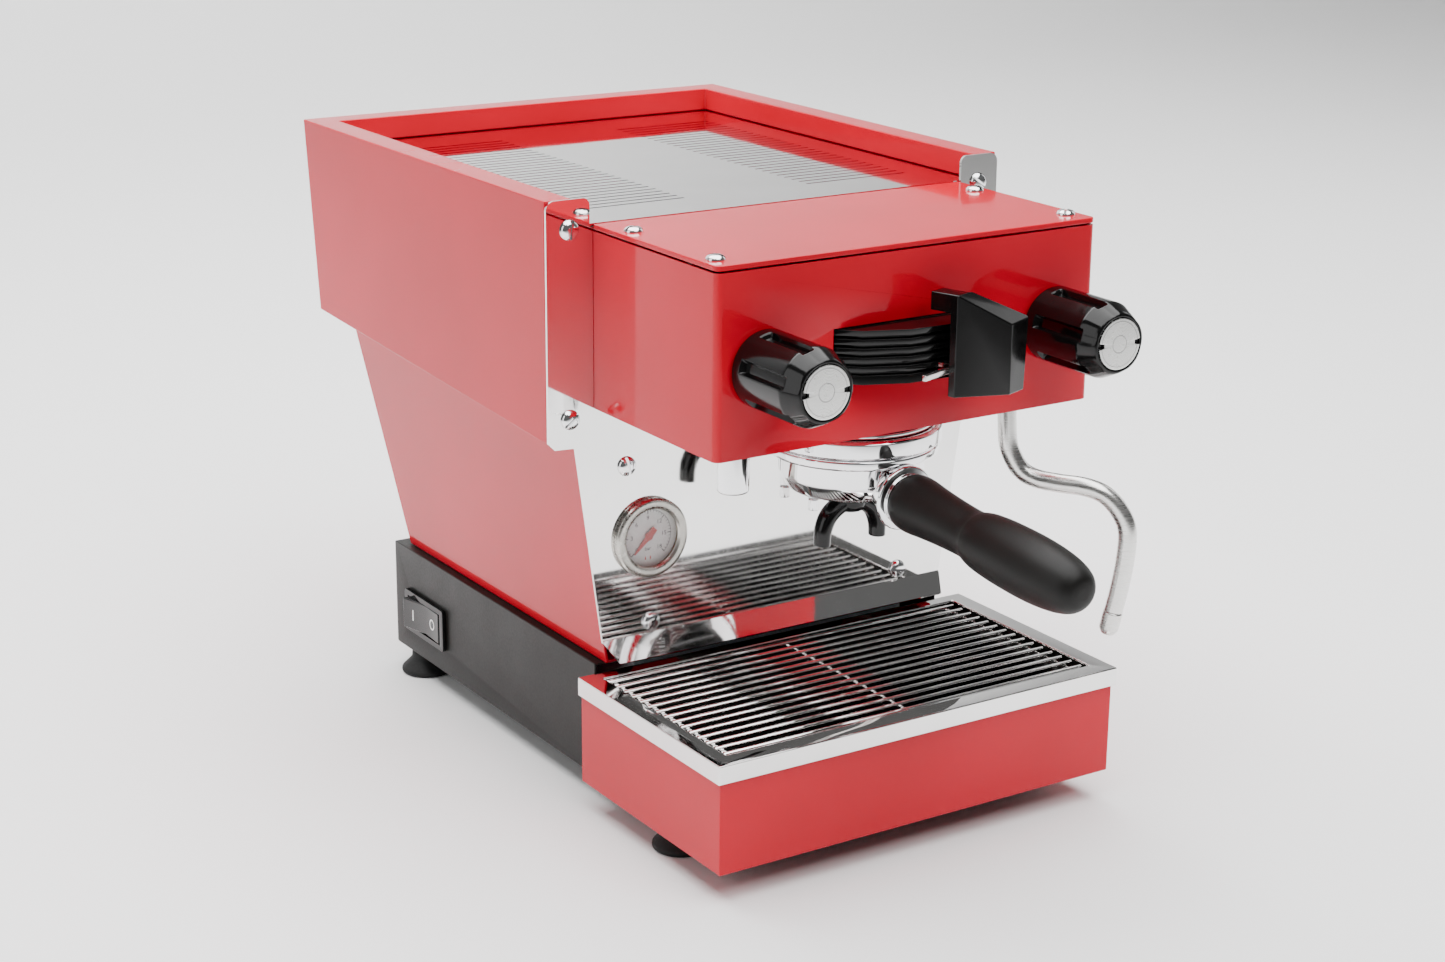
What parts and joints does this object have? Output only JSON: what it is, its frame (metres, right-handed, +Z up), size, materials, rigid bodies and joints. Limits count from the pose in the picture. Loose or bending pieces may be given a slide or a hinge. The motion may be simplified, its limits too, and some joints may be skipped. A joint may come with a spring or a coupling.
{
  "type": "espresso machine",
  "caption": "Compact red espresso machine: front group with portafilter and paddle, steam wand, hot water spout, gauge, drip tray and railed cup shelf.",
  "frame": {"origin": "on the table, in the middle of the footprint from the handle's end to the body's rear, on the machine's middle plane", "axes": "+X to the right seen from the front, +Y to the rear, +Z up"},
  "size_m": [0.29, 0.5548, 0.3372],
  "materials": {
    "red_paint": "gloss",
    "mirror_steel": "polished",
    "brushed_steel": "satin",
    "chrome": "polished",
    "black_sheet": "satin",
    "gloss_black": "gloss",
    "grip": "matte",
    "black_rubber": "matte",
    "dial_white": "matte",
    "needle_red": "satin",
    "lens_glass": "clear",
    "tank_plastic": "satin",
    "boiler_steel": "satin",
    "brass": "satin"
  },
  "bodies": {
    "chassis": {"base_pan": "black_sheet", "foot_rear_left": "black_rubber", "foot_rear_right": "black_rubber", "foot_front_left": "black_rubber", "foot_front_right": "black_rubber", "power_inlet": "gloss_black", "switch_frame": "gloss_black", "upper_shell": "red_paint", "side_panel_left": "red_paint", "side_panel_right": "red_paint", "rear_panel": "red_paint", "splash_plate": "mirror_steel", "cup_plate": "mirror_steel", "group_housing": "red_paint", "housing_lid": "red_paint", "gauge_case": "brass", "gauge_bezel": "brushed_steel", "gauge_dial": "dial_white", "gauge_lens": "lens_glass", "steam_valve": "brass", "water_valve": "brass", "water_spout": "chrome", "drain_nozzle": "chrome", "group_head": "chrome", "group_ring": "chrome", "group_gasket": "black_rubber", "shower_screen": "brushed_steel", "screen_screw": "brushed_steel", "inner_shelf": "brushed_steel", "coffee_boiler": "boiler_steel", "steam_boiler": "boiler_steel", "pump": "boiler_steel", "control_box": "black_sheet"},
    "gauge_hand": {"gauge_needle": "needle_red"},
    "steam_control": {"steam_knob": "gloss_black", "steam_knob_cap": "brushed_steel", "steam_valve_stem": "brass"},
    "water_control": {"water_knob": "gloss_black", "water_knob_cap": "brushed_steel", "water_valve_stem": "brass"},
    "wand_mount": {"wand_socket": "chrome"},
    "wand": {"wand_tube": "brushed_steel", "wand_tip": "brushed_steel"},
    "brew_paddle": {"brew_drum": "gloss_black", "paddle_lever": "brushed_steel", "paddle_handle": "gloss_black", "brew_spindle": "brushed_steel"},
    "portafilter": {"portafilter_body": "chrome", "filter_basket": "brushed_steel", "double_spout": "gloss_black", "handle_ferrule": "chrome", "handle_grip": "grip"},
    "tray": {"tray_box": "red_paint", "tray_frame": "mirror_steel", "tray_liner": "black_sheet"},
    "grill": {"drip_grill": "mirror_steel"},
    "tank": {"water_tank": "tank_plastic"},
    "power_rocker": {"switch_rocker": "gloss_black"}
  },
  "joints": [
    {"name": "gauge_needle_turn", "type": "hinge", "parent": "chassis", "child": "gauge_hand", "pos_m": [-0.0838, -0.02032, 0.149], "axis": [0, 1, 0], "range_deg": [0, 270]},
    {"name": "steam_knob_turn", "type": "hinge", "parent": "chassis", "child": "steam_control", "pos_m": [0.0903, -0.16032, 0.2703], "axis": [0, -1, 0], "range_deg": [0, 270]},
    {"name": "water_knob_turn", "type": "hinge", "parent": "chassis", "child": "water_control", "pos_m": [-0.0903, -0.16032, 0.2703], "axis": [0, -1, 0], "range_deg": [0, 270]},
    {"name": "wand_swivel", "type": "hinge", "parent": "chassis", "child": "wand_mount", "pos_m": [0.0874, -0.10762, 0.234], "axis": [0, 0, 1], "range_deg": [-60, 60]},
    {"name": "wand_tilt", "type": "hinge", "parent": "wand_mount", "child": "wand", "pos_m": [0.0874, -0.10762, 0.234], "axis": [0.682, 0.7314, 0], "range_deg": [-8, 8]},
    {"name": "brew_paddle_turn", "type": "hinge", "parent": "chassis", "child": "brew_paddle", "pos_m": [0, -0.08782, 0.27], "axis": [0, 0, 1], "range_deg": [-36, 0]},
    {"name": "portafilter_lock", "type": "hinge", "parent": "chassis", "child": "portafilter", "pos_m": [0, -0.08782, 0.205], "axis": [0, 0, 1], "range_deg": [-50, 0]},
    {"name": "tray_slide", "type": "slide", "parent": "chassis", "child": "tray", "axis": [0, -1, 0], "range_m": [0, 0.11]},
    {"name": "grill_lift", "type": "slide", "parent": "tray", "child": "grill", "axis": [0, 0, 1], "range_m": [0, 0.007]},
    {"name": "tank_slide", "type": "slide", "parent": "chassis", "child": "tank", "axis": [0, -1, 0], "range_m": [0, 0.07]},
    {"name": "power_switch_rock", "type": "hinge", "parent": "chassis", "child": "power_rocker", "pos_m": [-0.1147, 0.18818, 0.042], "axis": [0, 0, 1], "range_deg": [-12, 0]}
  ],
  "couplings": [
    {"joint": "tank_slide", "follows": "tray_slide", "ratio": 0.6}
  ]
}
